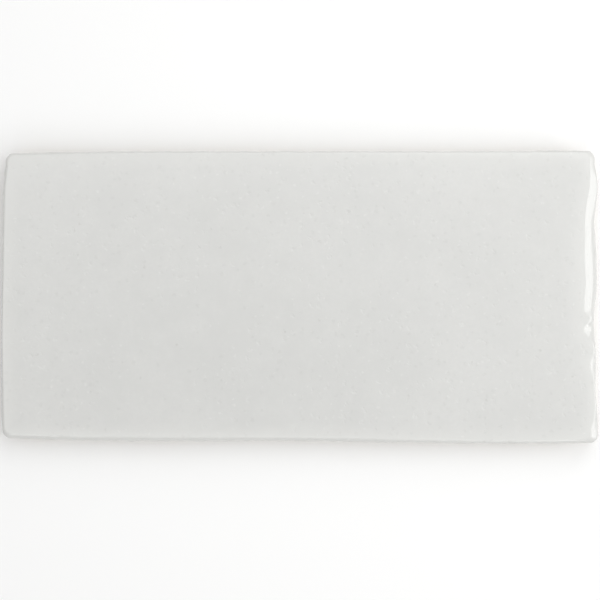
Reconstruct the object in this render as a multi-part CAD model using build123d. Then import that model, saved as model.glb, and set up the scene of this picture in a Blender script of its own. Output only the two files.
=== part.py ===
"""A hand-made look subway tile: one pressed and fired clay piece, glazed on its face and rolled edges.

The tile lies on its back. X runs along its length, Y across it and Z up through the glazed face.
The origin is the middle of the back's bounding rectangle. All sizes are millimetres.
"""

import os

from build123d import *

# Overall size, before the hand-made unevenness
length = 150.0
width = 73.4
thickness = 9.0

# Rim of the glazed face
edge_roll = 2.0  # radius of the rounded rim between the face and the sides
face_corner = 0.2  # corner radius that is left on the face inside the rolled rim
side_draft = 0.5  # how far the sides lean in from the face down to the back
back_arris = 0.5  # eased edge round the back

# Keys pressed into the back for the adhesive
key_size = 9.0  # side of one square pocket at the back
key_rib = 3.0  # width of the ribs between pockets
key_margin = 5.0  # least plain border between the pockets and the sides
key_depth = 0.8
key_draft = 30.0  # slope of a pocket's walls, degrees from upright

# Unevenness of the outline: where each corner lies outside (+) or inside (-) the true rectangle,
# along X and Y
corner_drift = {
    "back_left": (-1.20, -0.40),
    "back_right": (-0.60, 0.20),
    "front_right": (0.50, 0.20),
    "front_left": (0.13, -0.95),
}
# How far each side waves outside (+) or inside (-) the straight line between its corners,
# at even steps along the side, going clockwise
side_waves = {
    "back": [0.30, 0.10, 0.00],
    "right": [
        0.30, 0.81, 0.21, -0.19, 0.18, 0.42, 0.42, 0.15,
        -0.55, -0.52, -0.24, -0.30, -0.59, -0.31, 0.02,
    ],
    "front": [0.52, 0.20, 0.52],
    "left": [0.17, 0.38, 0.60, 0.62, 0.58, 0.62, 0.66],
}
# Waves of the glazed face: heights above the nominal thickness of a net of control points,
# with rows from front to back and columns from left to right
face_waves = [
    [-0.32, -0.10, -0.24, -0.30],
    [-0.14, 0.10, -0.06, -0.16],
    [-0.20, -0.04, 0.12, -0.10],
    [-0.30, -0.24, -0.12, -0.26],
]

corner_radius = edge_roll + face_corner


def corner(name, inset):
    """One sharp corner of the outline, moved in from the sides by the inset."""
    side_x = -1 if name.endswith("left") else 1
    side_y = -1 if name.startswith("front") else 1
    drift_x, drift_y = corner_drift[name]
    return Vector(side_x * (length / 2 + drift_x - inset), side_y * (width / 2 + drift_y - inset))


def side(start, end, waves):
    """One wavy side of the outline as a smooth curve, going clockwise from start to end."""
    along = end - start
    outwards = Vector(-along.Y, along.X).normalized()
    steps = len(waves) + 1
    between = [start + along * (step / steps) + outwards * wave for step, wave in enumerate(waves, 1)]
    return Spline([start, *between, end])


def outline(inset, height):
    """The tile's uneven outline with sharp corners, as a flat face at a height."""
    corners = [corner(name, inset) for name in corner_drift]
    sides = [
        side(start, end, waves)
        for start, end, waves in zip(corners, corners[1:] + corners[:1], side_waves.values())
    ]
    return Pos(0, 0, height) * make_face(Curve() + sides)


def slab():
    """The plain slab with leaning sides and round corners, a little taller than the tile."""
    spare = 2 * max(height for row in face_waves for height in row)
    top = thickness + spare
    top_outset = side_draft * spare / thickness
    body = loft([outline(side_draft, 0), outline(-top_outset, top)], ruled=True)
    upright = body.edges().filter_by(lambda edge: edge.bounding_box().size.Z > thickness)
    return fillet(upright, corner_radius)


def face_block():
    """Everything under the waving glazed face, as a block that is larger than the tile on every side."""
    reach_x = length / 2 + 2 * corner_radius
    reach_y = width / 2 + 2 * corner_radius
    rows = len(face_waves)
    columns = len(face_waves[0])
    net = [
        [
            Vector(
                reach_x * (2 * column / (columns - 1) - 1),
                reach_y * (2 * row / (rows - 1) - 1),
                thickness + face_waves[row][column],
            )
            for column in range(columns)
        ]
        for row in range(rows)
    ]
    return extrude(Face.make_bezier_surface(net), amount=2 * thickness, dir=(0, 0, -1))


def back_keys():
    """The grid of shallow square pockets that are pressed into the back."""
    pitch = key_size + key_rib
    columns = int((length - 2 * key_margin + key_rib) // pitch)
    rows = int((width - 2 * key_margin + key_rib) // pitch)
    pocket = extrude(Rectangle(key_size, key_size), amount=key_depth, taper=key_draft)
    return [place * pocket for place in GridLocations(pitch, pitch, columns, rows)]


def subway_tile():
    """The whole tile, with the middle of its bounding rectangle over the origin."""
    body = slab() & face_block()
    rim = body.edges().filter_by(lambda edge: edge.bounding_box().min.Z > thickness / 2)
    body = fillet(rim, edge_roll)
    back = body.faces().sort_by(Axis.Z)[0]
    body = chamfer(back.edges(), back_arris)
    middle = body.bounding_box().center()
    return Pos(-middle.X, -middle.Y, 0) * body - back_keys()


os.makedirs("parts", exist_ok=True)
export_step(subway_tile(), "parts/subway_tile.step")
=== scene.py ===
import math

import bmesh
import bpy
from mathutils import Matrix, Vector, noise
from mathutils.bvhtree import BVHTree


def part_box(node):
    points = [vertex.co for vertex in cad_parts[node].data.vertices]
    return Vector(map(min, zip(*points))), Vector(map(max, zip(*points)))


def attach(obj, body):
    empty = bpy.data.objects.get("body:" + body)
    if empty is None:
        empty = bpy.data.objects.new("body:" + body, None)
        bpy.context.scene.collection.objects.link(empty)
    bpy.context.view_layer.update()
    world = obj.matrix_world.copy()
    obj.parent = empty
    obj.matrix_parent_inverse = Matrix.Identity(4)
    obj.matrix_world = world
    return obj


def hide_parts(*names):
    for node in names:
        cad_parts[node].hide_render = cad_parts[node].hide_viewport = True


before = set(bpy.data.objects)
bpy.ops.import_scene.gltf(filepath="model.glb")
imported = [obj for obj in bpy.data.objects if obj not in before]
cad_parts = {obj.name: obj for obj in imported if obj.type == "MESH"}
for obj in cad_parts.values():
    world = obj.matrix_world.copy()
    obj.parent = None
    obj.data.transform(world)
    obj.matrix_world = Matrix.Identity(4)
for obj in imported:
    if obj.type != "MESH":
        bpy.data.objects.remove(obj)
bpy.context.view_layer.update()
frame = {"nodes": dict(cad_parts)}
mm = 0.001
print("frame loaded:", ", ".join(frame["nodes"]))

# The tile's own shape, in metres. Places along the sides and the face come from the solid.
tile = {
    "node": "subway_tile",
    "cornerRadius": 2.2 * mm,
    "cornerSegments": 8,
    "shoulder": 2.0 * mm,        # the rim lies within this depth under the face
    "shoulderRow": 0.14 * mm,
    "roll": 0.6 * mm,            # least rounding of the rim
    "rollSegments": 8,
    "arris": 0.5 * mm,           # eased edge round the back
    "arrisSegments": 3,
    "lean": 0.5 * mm,            # the sides lean in by this much from the rim to the back
    "cell": 0.6 * mm,            # mesh size on the face
    "sideRow": 0.25 * mm,        # mesh size up the sides, where the glaze ends
    "fineTop": 4.5 * mm,         # height where those fine rows end
    "coarseRow": 0.5 * mm,       # and the mesh size from there to the rim
    "cutSnap": 0.02 * mm,        # a cut this near to a corner of the mesh runs through it
    "slack": 0.01 * mm,          # what counts as lying at one height
    "upright": 0.05,             # faces whose normals rise less than this are sides
    "crease": math.radians(28),  # sharper edges than this are shaded sharp
    "gaugeStep": 3.0 * mm,       # distance between readings of the sides
    "gaugeEvery": 3,             # the face is read once in this many steps
    "gaugeHeight": 6.5 * mm,     # the sides are read at this height
    "gaugeMargin": 3.5 * mm,     # readings of the face keep this far from the sides
    "gaugeEnd": 1.0 * mm,        # readings of a side keep this far from its rounded corners
    "dentTurn": 0.6,             # how far up the rim, from 0 to 1, a dent's place is given
    "riseFrom": 2.5 * mm,        # the face's waves are felt from this height up
    "faceFade": 14.0 * mm,       # how far in from a side its unevenness is felt on the face
    "backFade": 4.5 * mm,        # and on the back
}
# The rim on each side, at even steps from left to right or from front to back: how far in it
# reaches over the face and how deep it is, in millimetres, and its section, where 2 is round
# and 1 a straight bevel
rims = {
    "left": {
        "reach": (1.0, 0.7, 0.6, 0.6, 0.8),
        "depth": (1.0, 0.7, 0.6, 0.6, 0.8),
        "section": (2.0,),
    },
    "right": {
        "reach": (2.1, 0.9, 0.6, 1.6, 2.6, 3.2, 3.4, 4.0, 4.2, 4.1, 3.5, 2.65, 2.5, 2.1, 1.4),
        "depth": (1.0, 0.9, 0.6, 1.2, 1.6, 1.5, 1.7, 2.0, 2.0, 2.0, 1.8, 1.3, 1.1, 0.9, 0.7),
        "section": (1.2, 1.8, 2.0, 1.7, 1.5, 1.3, 1.4, 1.5, 1.55, 1.5, 1.4, 1.25, 1.15, 1.2, 1.3),
        # Where it is blunter: place along the side and half width in millimetres, how much is
        # added to the section, how far it runs askew and which share of the reach is lost
        "dents": (
            (-5.2, 1.1, 1.6, -1.2, 0.05),
            (-13.0, 2.2, 3.0, 0.0, 0.35),
            (-21.5, 2.2, 1.0, 0.0, 0.30),
        ),
    },
    "front": {
        "reach": (1.5, 1.3, 1.2, 1.2, 1.3),
        "depth": (1.3, 1.2, 1.1, 1.1, 1.1),
        "section": (1.6, 1.6, 1.7, 1.9, 2.0),
    },
    "back": {
        "reach": (0.9, 0.7, 0.6, 0.6, 0.8),
        "depth": (0.8, 0.7, 0.6, 0.6, 0.7),
        "section": (2.0,),
    },
}
# The square pockets pressed into the back
keys = {
    "size": 9.0 * mm,
    "pitch": 12.0 * mm,
    "columns": 11,
    "rows": 5,
    "depth": 0.8 * mm,
    "slope": math.radians(30),
    "clear": 0.88 * mm,          # whatever lies lower belongs to the back
    "match": 0.01,               # how closely a square of the back has a pocket's area
    "corner": 1.0 * mm,          # rounding of a pocket's four corners
    "cornerSegments": 3,
    "lipAngle": math.radians(35),    # sharper edges than this are softened
    "softEdge": 0.2 * mm,
    "softSegments": 2,
}
# The glaze, fired on as a thin skin: how it swells, where it stops and how it hangs there
skin = {
    "thickness": 0.15 * mm,
    "bead": 0.10 * mm,           # the thicker roll where the glaze stopped running
    "beadWidth": 0.35 * mm,
    "line": 2.6 * mm,            # height of its lower edge above the back
    "lineBlur": 0.12 * mm,       # half the width over which it gives way to bare clay
    "lineRise": (-0.1 * mm, 0.3 * mm),   # and where it comes to its full thickness
    "lineWander": 0.8 * mm,
    "lineScale": 11.0 * mm,
    # How far the face falls away towards the rim on each side, and over which width
    "pillow": {
        "left": (0.02 * mm, 6.0 * mm),
        "right": (0.15 * mm, 8.0 * mm),
        "front": (0.07 * mm, 6.0 * mm),
        "back": (0.36 * mm, 12.0 * mm),
    },
    "swells": ((30.0 * mm, 0.050 * mm), (10.0 * mm, 0.014 * mm), (3.0 * mm, 0.0022 * mm)),
    "rimLumpAndLightWidth": 5.0 * mm,       # the rim's lumps and its painted light reach this far in from the sides
    "rimLumps": (4.0 * mm, 0.07 * mm),
    "lumpShift": (7, 3, 1),      # sets the lumps apart from the nicks of the same size
    # Uneven edges: size and height, the tilts between which they fade out on to the face, and how
    # much calmer they are on the right
    "nicks": ((4.0 * mm, 0.15 * mm), (1.6 * mm, 0.10 * mm)),
    "nickTilt": (0.2, 0.7),
    "calmShare": 0.7,
    "calmTurn": (0.2, 0.8),
}

low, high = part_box(tile["node"])
half = (high - low) / 2
thick = high.z


def smooth(edge0, edge1, value):
    share = min(max((value - edge0) / (edge1 - edge0), 0.0), 1.0)
    return share * share * (3 - 2 * share)


# A smooth curve through evenly spaced readings
def through(readings, share):
    last = len(readings) - 1
    place = min(max(share, 0.0), 1.0) * last
    k = min(int(place), last - 1)
    t = place - k
    a, b, c, d = (readings[min(max(i, 0), last)] for i in range(k - 1, k + 3))
    return b + 0.5 * t * (c - a + t * (2 * a - 5 * b + 4 * c - d + t * (3 * (b - c) + d - a)))


# Reads the solid: how far each side stands out, and how the face waves
solid = bmesh.new()
solid.from_mesh(frame["nodes"][tile["node"]].data)
solidTree = BVHTree.FromBMesh(solid)
solid.free()


def sideReading(axis, sign, along):
    start = Vector((0, 0, tile["gaugeHeight"]))
    start[axis] = 2 * sign * half[axis]
    start[1 - axis] = along
    aim = Vector()
    aim[axis] = -sign
    hit = solidTree.ray_cast(start, aim)[0]
    return sign * hit[axis] - half[axis]


def faceReading(x, y):
    hit = solidTree.ray_cast(Vector((x, y, 2 * thick)), Vector((0, 0, -1)))[0]
    return hit.z - thick


# Even places from one end of a reach to the other
def spread(reach):
    count = max(4, round(2 * reach / tile["gaugeStep"]) + 1)
    return [reach * (2 * k / (count - 1) - 1) for k in range(count)]


sideReach = half - Vector((1, 1, 0)) * (tile["cornerRadius"] + tile["gaugeEnd"])
faceReach = half - Vector((1, 1, 0)) * tile["gaugeMargin"]
sideReadings = {
    (axis, sign): [sideReading(axis, sign, along) for along in spread(sideReach[1 - axis])]
    for axis in (0, 1)
    for sign in (-1, 1)
}
every = tile["gaugeEvery"]
faceReadings = [
    [faceReading(x, y) for x in spread(faceReach.x)[::every]]
    for y in spread(faceReach.y)[::every]
]
print("solid read:", sum(map(len, sideReadings.values())), "places on the sides")


def sideOffset(axis, sign, along):
    reach = sideReach[1 - axis]
    return through(sideReadings[axis, sign], (along / reach + 1) / 2)


def sideName(axis, sign):
    return (("left", "right"), ("front", "back"))[axis][sign > 0]


# How far in the rim has come over the face, at a height
def rimInset(axis, sign, along, height):
    rim = rims[sideName(axis, sign)]
    share = (along / sideReach[1 - axis] + 1) / 2
    reach, depth, section = (through(rim[key], share) for key in ("reach", "depth", "section"))
    turn = min(max(1 + (height - thick) / (depth * mm), 0.0), 1.0)
    for place, width, amount, skew, loss in rim.get("dents", ()):
        felt = math.exp(-((along / mm - place - skew * (turn - tile["dentTurn"])) / width) ** 2)
        section += amount * felt
        reach *= 1 - loss * felt
    return reach * mm * (1 - (1 - turn ** section) ** (1 / section))


def faceOffset(x, y):
    rows = [through(row, (x / faceReach.x + 1) / 2) for row in faceReadings]
    return through(rows, (y / faceReach.y + 1) / 2)


# Cuts faces into strips by parallel planes, going up along one axis
def cutStrips(mesh, faces, axis, places):
    ahead = list(faces)
    for place in places:
        spot, normal = Vector(), Vector()
        spot[axis], normal[axis] = place, 1
        edges = {e for f in ahead for e in f.edges}
        verts = {v for f in ahead for v in f.verts}
        cut = bmesh.ops.bisect_plane(
            mesh, geom=[*ahead, *edges, *verts], dist=tile["cutSnap"], plane_co=spot, plane_no=normal
        )
        found = [f for f in cut["geom"] if isinstance(f, bmesh.types.BMFace)]
        ahead = [f for f in found if f.calc_center_median()[axis] > place]


def steps(start, end, size):
    count = max(1, round((end - start) / size))
    return [start + (end - start) * k / count for k in range(count + 1)]


def makeBlank():
    mesh = bmesh.new()
    bmesh.ops.create_cube(mesh, size=1)
    bmesh.ops.scale(mesh, vec=2 * half, verts=mesh.verts)
    bmesh.ops.translate(mesh, vec=(0, 0, thick / 2), verts=mesh.verts)
    upright = [e for e in mesh.edges if abs(e.verts[0].co.z - e.verts[1].co.z) > thick / 2]
    bmesh.ops.bevel(
        mesh, geom=upright, offset=tile["cornerRadius"], segments=tile["cornerSegments"],
        profile=0.5, affect="EDGES", material=-1,
    )
    for level, size, segments in (
        (thick, tile["roll"], tile["rollSegments"]),
        (0.0, tile["arris"], tile["arrisSegments"]),
    ):
        rim = [e for e in mesh.edges if all(abs(v.co.z - level) < tile["slack"] for v in e.verts)]
        bmesh.ops.bevel(
            mesh, geom=rim, offset=size, segments=segments, profile=0.5, affect="EDGES", material=-1,
        )
    return mesh


def isBack(face):
    return all(v.co.z < tile["slack"] for v in face.verts)


def cutMesh(mesh):
    mesh.normal_update()
    shoulder = thick - tile["shoulder"]
    for start, end, row in (
        (tile["arris"], tile["fineTop"], tile["sideRow"]),
        (tile["fineTop"], shoulder, tile["coarseRow"]),
        (shoulder, thick - tile["roll"], tile["shoulderRow"]),
    ):
        upright = [f for f in mesh.faces if abs(f.normal.z) < tile["upright"]]
        sides = [f for f in upright if f.calc_center_median().z > start]
        cutStrips(mesh, sides, 2, steps(start, end, row)[1:])
    for axis in (0, 1):
        reach = half[axis] - tile["cornerRadius"]
        upper = [f for f in mesh.faces if not isBack(f)]
        cutStrips(mesh, upper, axis, steps(-reach, reach, tile["cell"]))


def pressKeys(mesh):
    for axis, count in ((0, keys["columns"]), (1, keys["rows"])):
        middles = [keys["pitch"] * (k - (count - 1) / 2) for k in range(count)]
        lines = [m + side * keys["size"] / 2 for m in middles for side in (-1, 1)]
        cutStrips(mesh, [f for f in mesh.faces if isBack(f)], axis, lines)
    area = keys["size"] ** 2
    squares = [f for f in mesh.faces if isBack(f) and len(f.verts) == 4]
    pockets = [f for f in squares if abs(f.calc_area() / area - 1) < keys["match"]]
    bmesh.ops.inset_individual(
        mesh, faces=pockets, thickness=keys["depth"] * math.tan(keys["slope"]), depth=-keys["depth"]
    )
    slants = {e for f in pockets for v in f.verts for e in v.link_edges if e not in f.edges}
    bmesh.ops.bevel(
        mesh, geom=list(slants), offset=keys["corner"], segments=keys["cornerSegments"],
        profile=0.5, affect="EDGES", material=-1,
    )
    mesh.normal_update()
    reachX, reachY = (keys["pitch"] * count / 2 for count in (keys["columns"], keys["rows"]))
    keyed = {
        v for v in mesh.verts
        if v.co.z < keys["clear"] and abs(v.co.x) < reachX and abs(v.co.y) < reachY
    }
    lips = [
        e for e in mesh.edges
        if keyed.issuperset(e.verts) and e.calc_face_angle(0) > keys["lipAngle"]
    ]
    bmesh.ops.bevel(
        mesh, geom=lips, offset=keys["softEdge"], segments=keys["softSegments"],
        profile=0.5, affect="EDGES", material=-1,
    )
    return len(pockets)


# Moves the outline and the face to where the solid has them, and gives each side its own rim
def shapeTile(mesh, rimShade):
    for v in mesh.verts:
        x, y, z = v.co
        outer = min(half.x - abs(x), half.y - abs(y))
        # How near the rim a point lies: this weighs the rim's lumps and its painted light
        v[rimShade] = 1 - smooth(tile["roll"], skin["rimLumpAndLightWidth"], outer)
        fade = tile["backFade"] if z < keys["clear"] else tile["faceFade"]
        lean = tile["lean"] * max(0.0, tile["gaugeHeight"] - z) / thick
        shift = Vector()
        for axis in (0, 1):
            for sign in (-1, 1):
                felt = 1 - smooth(0, fade, half[axis] - sign * v.co[axis])
                if felt > 0:
                    shift[axis] += sign * felt * (sideOffset(axis, sign, v.co[1 - axis]) - lean)
        # The blank's rim is round and even: each side's own rim reaches further in
        turn = min(max((z - thick) / tile["roll"] + 1, 0.0), 1.0)
        blankInset = tile["roll"] * (1 - math.sqrt(1 - turn * turn))
        for axis in (0, 1):
            sign = 1 if v.co[axis] > 0 else -1
            felt = 1 - smooth(tile["roll"], tile["faceFade"], half[axis] - sign * v.co[axis])
            shift[axis] -= sign * felt * (rimInset(axis, sign, v.co[1 - axis], z) - blankInset)
        rise = smooth(tile["riseFrom"], thick - tile["shoulder"], z)
        if rise > 0:
            shift.z += rise * faceOffset(x, y)
            for axis in (0, 1):
                fall, width = skin["pillow"][sideName(axis, v.co[axis])]
                share = min(1.0, max(0.0, half[axis] - abs(v.co[axis])) / width)
                shift.z -= rise * fall * (1 - share) ** 2
        v.co += shift


# Height of the glaze's lower edge, which wanders round the tile
def glazeLine(point):
    return skin["line"] + skin["lineWander"] * noise.noise(point / skin["lineScale"])


# Adds up a noise of several sizes and heights
def waves(point, sizes):
    return sum(height * noise.noise(point / size) for size, height in sizes)


def glazeTile(mesh, cover, rimShade):
    mesh.normal_update()
    lumpSize, lump = skin["rimLumps"]
    moves = []
    for v in mesh.verts:
        above = v.co.z - glazeLine(Vector((v.co.x, v.co.y, 0)))
        v[cover] = smooth(-skin["lineBlur"], skin["lineBlur"], above)
        # The solid's sides already hold the glaze, so only its edge and its bead are added
        build = skin["thickness"] * (smooth(*skin["lineRise"], above) - v[cover])
        build += skin["bead"] * math.exp(-((above - skin["beadWidth"]) / skin["beadWidth"]) ** 2)
        swell = waves(v.co, skin["swells"])
        swell += lump * v[rimShade] * noise.noise(v.co / lumpSize + Vector(skin["lumpShift"]))
        steep = 1 - smooth(*skin["nickTilt"], v.normal.z)
        calm = 1 - skin["calmShare"] * smooth(*skin["calmTurn"], v.normal.x)
        swell += steep * calm * waves(v.co, skin["nicks"])
        moves.append(v.normal * (build + v[cover] * swell))
    for v, move in zip(mesh.verts, moves):
        v.co += move


def makeTile():
    mesh = makeBlank()
    cutMesh(mesh)
    print("blank cut:", len(mesh.faces), "faces")
    print("keys pressed:", pressKeys(mesh))
    cover = mesh.verts.layers.float.new("glazeCover")
    rimShade = mesh.verts.layers.float.new("rimShade")
    shapeTile(mesh, rimShade)
    glazeTile(mesh, cover, rimShade)
    mesh.normal_update()
    for f in mesh.faces:
        f.smooth = True
    for e in mesh.edges:
        e.smooth = len(e.link_faces) == 2 and e.calc_face_angle() < tile["crease"]
    data = bpy.data.meshes.new("glazedTile")
    mesh.to_mesh(data)
    mesh.free()
    piece = bpy.data.objects.new("glazedTile", data)
    bpy.context.scene.collection.objects.link(piece)
    print("tile made:", sum(len(p.vertices) - 2 for p in data.polygons), "triangles")
    return piece


# Materials
glazeLook = {
    "body": (0.681, 0.682, 0.664, 1),
    "cloud": (0.652, 0.654, 0.637, 1),
    "cloudSizes": (24.0 * mm, 4.0 * mm),
    "cloudEdge": (0.36, 0.64),
    "cloudShift": (100.0 * mm, 30.0 * mm, 20.0 * mm),    # which clouds lie on the tile
    "mottle": 1.1 * mm,
    "mottleEdge": (0.35, 0.65),
    "mottleShare": 0.45,
    "paintedRimLight": (0.705, 0.706, 0.684, 1),    # painted light: a lighter colour on the rim
    "paintedRimLightShare": 0.6,
    "flecks": (
        # colour, strength, spacing, size as a share of the spacing, share of the cells that have one
        ((0.45, 0.45, 0.43, 1), 0.15, 2.0 * mm, 0.36, 0.75),
        ((0.86, 0.86, 0.84, 1), 0.24, 1.9 * mm, 0.26, 0.70),
        ((0.38, 0.37, 0.34, 1), 0.25, 4.5 * mm, 0.12, 0.70),
    ),
    "fleckDrift": 1.3 * mm,              # how far the flecks' outlines wander
    "driftSize": 0.8 * mm,
    "fleckCrowd": 28.0 * mm,             # size of the patches where they crowd
    "crowdEdge": (0.35, 0.6),
    "crowdShare": (0.25, 1.0),
    "roughness": (0.09, 0.17),
    "roughnessPatch": 9.0 * mm,
    "roughnessEdge": (0.3, 0.7),
    "dimpleSpacing": 2.2 * mm,
    "dimpleSize": 0.36,                  # as a share of the spacing
    "dimpleShare": 0.6,                  # of the cells that have one
    "dimpleDepth": 0.030 * mm,
    "peelSize": 0.9 * mm,
    "peelDepth": 0.004 * mm,
    "ior": 1.52,
}
clayLook = {
    "pale": (0.66, 0.60, 0.52, 1),
    "dark": (0.56, 0.50, 0.42, 1),
    "grain": 0.5 * mm,
    "grainEdge": (0.3, 0.7),
    "roughness": 0.85,
    "grainDepth": 0.03 * mm,
}


class Nodes:
    def __init__(self, owner):
        self.tree = owner.node_tree

    def add(self, kind, inputs=None, **settings):
        node = self.tree.nodes.new(kind)
        for key, value in settings.items():
            setattr(node, key, value)
        for key, value in (inputs or {}).items():
            self.feed(node.inputs[key], value)
        return node

    def feed(self, socket, value):
        if isinstance(value, bpy.types.NodeSocket):
            self.tree.links.new(value, socket)
        else:
            socket.default_value = value

    def noise(self, where, size, detail, roughness=0.5):
        return self.add(
            "ShaderNodeTexNoise",
            {"Vector": where, "Scale": 1 / size, "Detail": detail, "Roughness": roughness},
        ).outputs["Fac"]

    def ramp(self, value, start, end, to0=0.0, to1=1.0):
        return self.add(
            "ShaderNodeMapRange",
            {"Value": value, "From Min": start, "From Max": end, "To Min": to0, "To Max": to1},
            interpolation_type="SMOOTHSTEP",
        ).outputs["Result"]

    def math(self, operation, a, b=0.0):
        return self.add("ShaderNodeMath", {0: a, 1: b}, operation=operation).outputs[0]

    def vector(self, operation, a, b):
        return self.add("ShaderNodeVectorMath", {0: a, 1: b}, operation=operation).outputs[0]

    def mix(self, share, a, b):
        return self.add("ShaderNodeMix", {"Factor": share, 6: a, 7: b}, data_type="RGBA").outputs[2]

    def blend(self, share, a, b):
        return self.add("ShaderNodeMix", {"Factor": share, 2: a, 3: b}, data_type="FLOAT").outputs[0]

    # Moves a pattern about by a little, unevenly
    def drift(self, where, size, distance):
        push = self.add("ShaderNodeTexNoise", {"Vector": where, "Scale": 1 / size, "Detail": 1})
        centred = self.vector("SUBTRACT", push.outputs["Color"], (0.5, 0.5, 0.5))
        moved = self.vector("MULTIPLY", centred, (distance, distance, distance))
        return self.vector("ADD", where, moved)

    # Soft round spots in a share of the cells of a scattered pattern
    def spots(self, where, spacing, radius, share):
        cells = self.add("ShaderNodeTexVoronoi", {"Vector": where, "Scale": 1 / spacing}, feature="F1")
        draw = self.add("ShaderNodeSeparateColor", {0: cells.outputs["Color"]}).outputs[0]
        spot = self.ramp(cells.outputs["Distance"], radius, 0.0)
        return self.math("MULTIPLY", spot, self.math("LESS_THAN", draw, share))

    def bump(self, height, depth, normal=None):
        inputs = {"Height": height, "Distance": depth, "Strength": 1.0}
        if normal is not None:
            inputs["Normal"] = normal
        return self.add("ShaderNodeBump", inputs).outputs["Normal"]


def glazedClay():
    material = bpy.data.materials.new("glazedClay")
    material.use_nodes = True
    n = Nodes(material)
    shader = n.tree.nodes["Principled BSDF"]
    where = n.add("ShaderNodeTexCoord").outputs["Object"]
    cover = n.add("ShaderNodeAttribute", attribute_name="glazeCover").outputs["Fac"]
    rim = n.add("ShaderNodeAttribute", attribute_name="rimShade").outputs["Fac"]

    # Glaze: cloudy white, with painted light making the rim lighter, and pale and dark flecks
    cloudy = n.vector("ADD", where, glazeLook["cloudShift"])
    broadSize, fineSize = glazeLook["cloudSizes"]
    broad = n.noise(cloudy, broadSize, detail=3)
    fine = n.noise(cloudy, fineSize, detail=6, roughness=0.7)
    clouds = n.ramp(n.blend(0.5, broad, fine), *glazeLook["cloudEdge"])
    colour = n.mix(clouds, glazeLook["body"], glazeLook["cloud"])
    mottle = n.noise(where, glazeLook["mottle"], detail=4, roughness=0.6)
    mottle = n.math("MULTIPLY", n.ramp(mottle, *glazeLook["mottleEdge"]), glazeLook["mottleShare"])
    colour = n.mix(mottle, colour, glazeLook["cloud"])
    # Painted light: the colour turns lighter on the rim, within a few millimetres of the sides
    colour = n.mix(n.math("MULTIPLY", rim, glazeLook["paintedRimLightShare"]), colour, glazeLook["paintedRimLight"])
    drifted = n.drift(where, glazeLook["driftSize"], glazeLook["fleckDrift"])
    crowd = n.noise(where, glazeLook["fleckCrowd"], detail=2)
    crowd = n.ramp(crowd, *glazeLook["crowdEdge"], *glazeLook["crowdShare"])
    for tint, strength, spacing, size, share in glazeLook["flecks"]:
        fleck = n.spots(drifted, spacing, size, n.math("MULTIPLY", crowd, share))
        colour = n.mix(n.math("MULTIPLY", fleck, strength), colour, tint)
    dimpled = n.math("MULTIPLY", crowd, glazeLook["dimpleShare"])
    dimple = n.spots(drifted, glazeLook["dimpleSpacing"], glazeLook["dimpleSize"], dimpled)
    gloss = n.noise(where, glazeLook["roughnessPatch"], detail=4)
    gloss = n.ramp(gloss, *glazeLook["roughnessEdge"], *glazeLook["roughness"])

    # Bare clay on the back and below the glaze
    grain = n.noise(where, clayLook["grain"], detail=6, roughness=0.65)
    clay = n.mix(n.ramp(grain, *clayLook["grainEdge"]), clayLook["pale"], clayLook["dark"])

    n.feed(shader.inputs["Base Color"], n.mix(cover, clay, colour))
    n.feed(shader.inputs["Roughness"], n.blend(cover, clayLook["roughness"], gloss))
    bare = n.math("SUBTRACT", 1.0, cover)
    normal = n.bump(n.math("MULTIPLY", grain, bare), clayLook["grainDepth"])
    for height, depth in (
        (n.noise(where, glazeLook["peelSize"], detail=3), glazeLook["peelDepth"]),
        (n.math("MULTIPLY", dimple, -1.0), glazeLook["dimpleDepth"]),
    ):
        normal = n.bump(n.math("MULTIPLY", height, cover), depth, normal)
    n.feed(shader.inputs["Normal"], normal)
    shader.inputs["IOR"].default_value = glazeLook["ior"]
    return material


piece = makeTile()
piece.data.materials.append(glazedClay())
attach(piece, "root")
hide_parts(tile["node"])

# Floor, lights and camera
studio = {
    "floorSize": 6.0,
    "floorDrop": 0.02 * mm,              # keeps it just clear of the back
    "floorColour": (0.925, 0.925, 0.92, 1),
    "floorRoughness": 0.9,
    "ceiling": (1.335, 1.335, 1.335, 1),
    "ceilingFall": 3.0,                  # how fast it gives way to the walls
    "walls": (0.40, 0.40, 0.40, 1),
    "darkWall": (0.05, 0.05, 0.05, 1),   # on the right, round the window
    "darkTurn": (0.1, 0.6),              # how far to the right it starts and is at its darkest
    "shade": (0.05, 0.05, 0.05, 1),      # the darker patch overhead, behind the camera
    "shadeMiddle": (-0.045, -0.06, 0.0),
    "shadeReach": (0.225, 0.139, 1.0),
    "shadeEdge": (0.1, 1.5),             # where it starts to fade and ends, in shares of its reach
    "frameWidth": 151.5 * mm,            # what the picture takes in at the height of the outline
    "lens": 120.0,
    "sensor": 36.0,
    "lookAt": (0.0, -0.68 * mm),         # middle of the picture
}
# Each panel: its middle, what it faces, its width and height in metres and its strength in watts
panels = {
    # The broken line of light on the right rim, from its middle to both corners
    "window": {
        "at": (0.835, -0.015, 0.58), "to": (0.07, 0.0, 0.0), "size": (0.375, 0.495), "power": 2.05,
    },
    "backCard": {
        "at": (0.80, 0.27, 0.58), "to": (0.075, 0.035, 0.0), "size": (0.18, 0.375), "power": 0.50,
    },
    "cornerCard": {
        "at": (0.76, -0.34, 0.48), "to": (0.075, -0.035, 0.0), "size": (0.27, 0.33), "power": 1.26,
    },
    # A low fill for the right side
    "rightCard": {
        "at": (0.70, -0.20, 0.12), "to": (0.07, -0.02, 0.0), "size": (0.30, 0.16), "power": 0.10,
    },
    # Thin lines of light at both ends of the front rim
    "leftCard": {
        "at": (-0.16, -0.50, 0.36), "to": (-0.06, -0.04, 0.0), "size": (0.05, 0.30), "power": 0.12,
    },
    "frontCard": {
        "at": (0.15, -0.50, 0.36), "to": (0.06, -0.04, 0.0), "size": (0.10, 0.36), "power": 0.24,
    },
    # The paler band along the back
    "skylight": {
        "at": (0.11, 0.27, 0.29), "to": (0.0, 0.0, 0.0), "size": (0.36, 0.36), "power": 0.45,
    },
}


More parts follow.
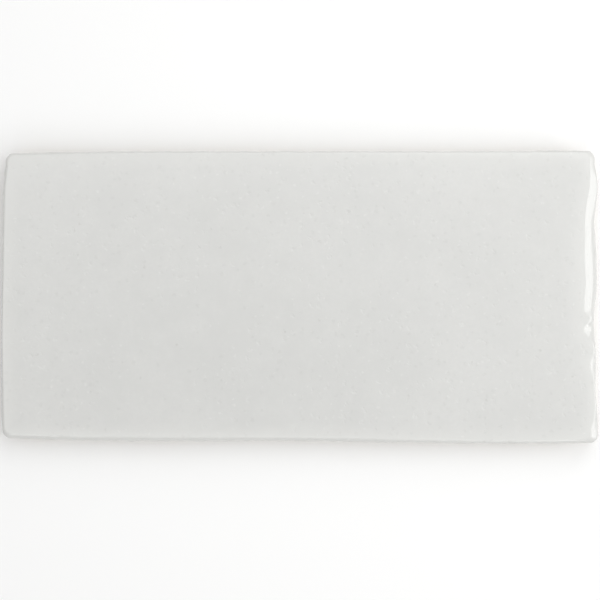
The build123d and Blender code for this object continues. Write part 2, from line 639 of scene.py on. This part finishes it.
def makeFloor():
    mesh = bmesh.new()
    bmesh.ops.create_grid(mesh, x_segments=1, y_segments=1, size=studio["floorSize"] / 2)
    bmesh.ops.translate(mesh, vec=(0, 0, -studio["floorDrop"]), verts=mesh.verts)
    data = bpy.data.meshes.new("floor")
    mesh.to_mesh(data)
    mesh.free()
    floor = bpy.data.objects.new("floor", data)
    bpy.context.scene.collection.objects.link(floor)
    paper = bpy.data.materials.new("palePaper")
    paper.use_nodes = True
    shader = paper.node_tree.nodes["Principled BSDF"]
    shader.inputs["Base Color"].default_value = studio["floorColour"]
    shader.inputs["Roughness"].default_value = studio["floorRoughness"]
    data.materials.append(paper)


def makePanel(name, at, to, size, power):
    lamp = bpy.data.lights.new(name, "AREA")
    lamp.shape = "RECTANGLE"
    lamp.size, lamp.size_y = size
    lamp.energy = power
    panel = bpy.data.objects.new(name, lamp)
    panel.location = at
    panel.rotation_euler = (Vector(to) - Vector(at)).to_track_quat("-Z", "Y").to_euler()
    panel.visible_camera = False
    bpy.context.scene.collection.objects.link(panel)


# A room with a bright ceiling, darker walls and a shaded patch overhead
def makeRoom():
    world = bpy.data.worlds.new("room")
    world.use_nodes = True
    n = Nodes(world)
    aim = n.add("ShaderNodeTexCoord").outputs["Generated"]
    parts = n.add("ShaderNodeSeparateXYZ", {0: aim}).outputs
    walls = n.mix(n.ramp(parts["X"], *studio["darkTurn"]), studio["walls"], studio["darkWall"])
    up = n.math("MAXIMUM", parts["Z"], 0.0)
    room = n.mix(n.math("POWER", up, studio["ceilingFall"]), walls, studio["ceiling"])
    offset = n.vector("SUBTRACT", aim, studio["shadeMiddle"])
    flat = n.vector("MULTIPLY", n.vector("DIVIDE", offset, studio["shadeReach"]), (1, 1, 0))
    away = n.add("ShaderNodeVectorMath", {0: flat}, operation="LENGTH").outputs["Value"]
    room = n.mix(n.ramp(away, *studio["shadeEdge"]), studio["shade"], room)
    n.feed(n.tree.nodes["Background"].inputs["Color"], room)
    bpy.context.scene.world = world


def makeCamera():
    data = bpy.data.cameras.new("camera")
    data.lens = studio["lens"]
    data.sensor_width = studio["sensor"]
    camera = bpy.data.objects.new("camera", data)
    distance = studio["frameWidth"] * data.lens / data.sensor_width
    camera.location = (*studio["lookAt"], thick - tile["shoulder"] + distance)
    bpy.context.scene.collection.objects.link(camera)
    bpy.context.scene.camera = camera


makeFloor()
for name, panel in panels.items():
    makePanel(name, **panel)
makeRoom()
makeCamera()
bpy.context.scene.view_settings.view_transform = "Standard"
print("studio set:", len(panels), "panels")
